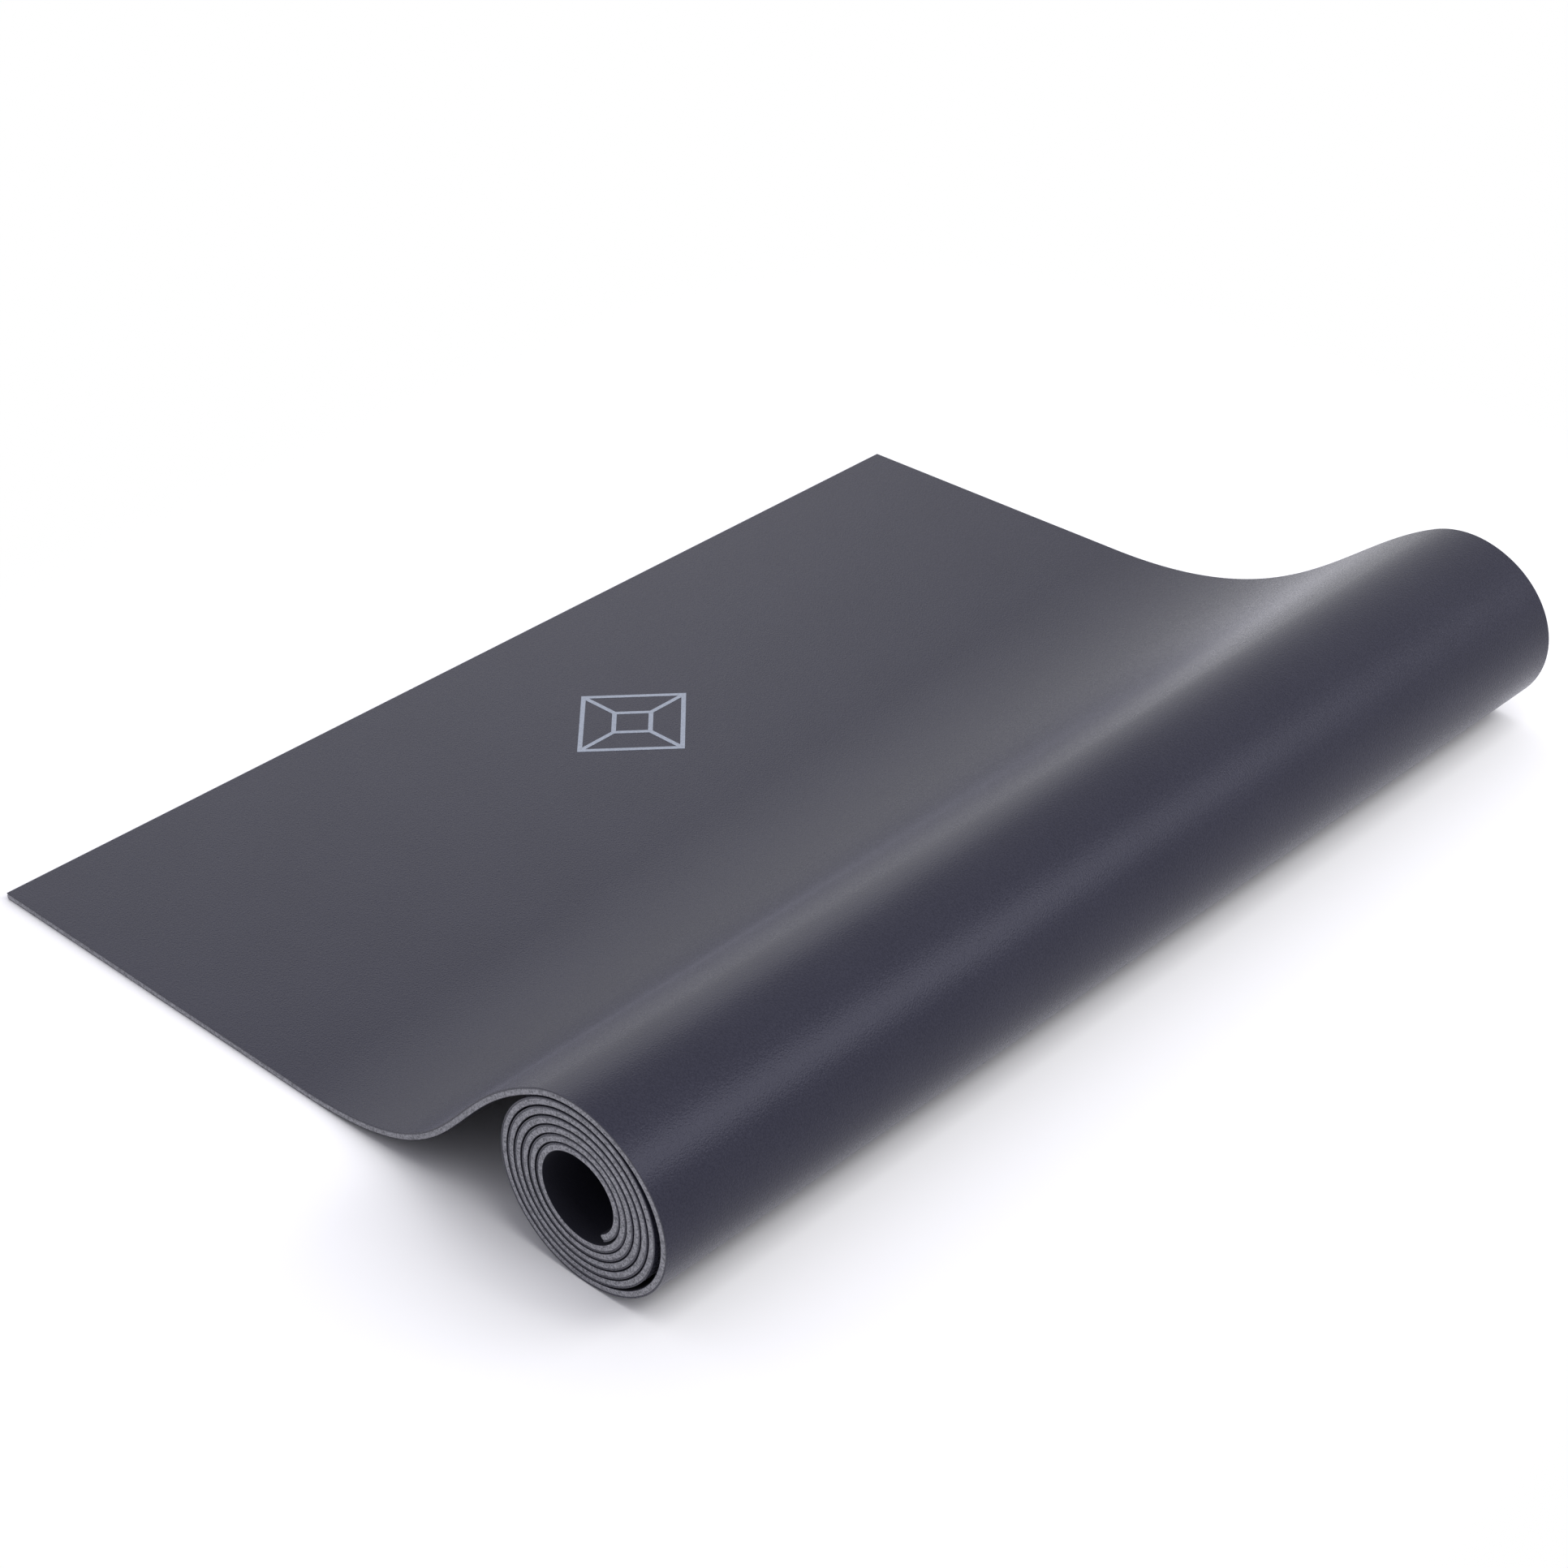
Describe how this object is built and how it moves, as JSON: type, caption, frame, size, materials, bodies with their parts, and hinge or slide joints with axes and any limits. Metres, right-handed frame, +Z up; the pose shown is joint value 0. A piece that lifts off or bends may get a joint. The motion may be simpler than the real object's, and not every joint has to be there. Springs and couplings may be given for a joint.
{
  "type": "yoga mat",
  "caption": "Partly rolled exercise mat: a foam rubber base under a thin grippy skin, with one flat end that lifts and a hollow roll at the other.",
  "frame": {"origin": "on the floor, below the middle of the whole part's box", "axes": "+X from the free end towards the roll, +Y along the roll, across the mat's width, +Z up"},
  "size_m": [0.4556, 0.6101, 0.092],
  "materials": {
    "rubber_foam": "matt, fine open cells, light grey",
    "top_skin": "satin polyurethane skin with a fine leather-like grain, dark slate grey",
    "mark_ink": "matt pale blue-grey print"
  },
  "bodies": {
    "roll": {"rubber_base_roll": "rubber_foam", "top_skin_roll": "top_skin"},
    "flap": {"rubber_base_flap": "rubber_foam", "top_skin_flap": "top_skin", "alignment_mark": "mark_ink"}
  },
  "joints": [
    {"name": "flap_lift", "type": "hinge", "parent": "roll", "child": "flap", "pos_m": [-0.06586, 0, 0.0037], "axis": [0, 1, 0], "range_deg": [0, 90]}
  ]
}
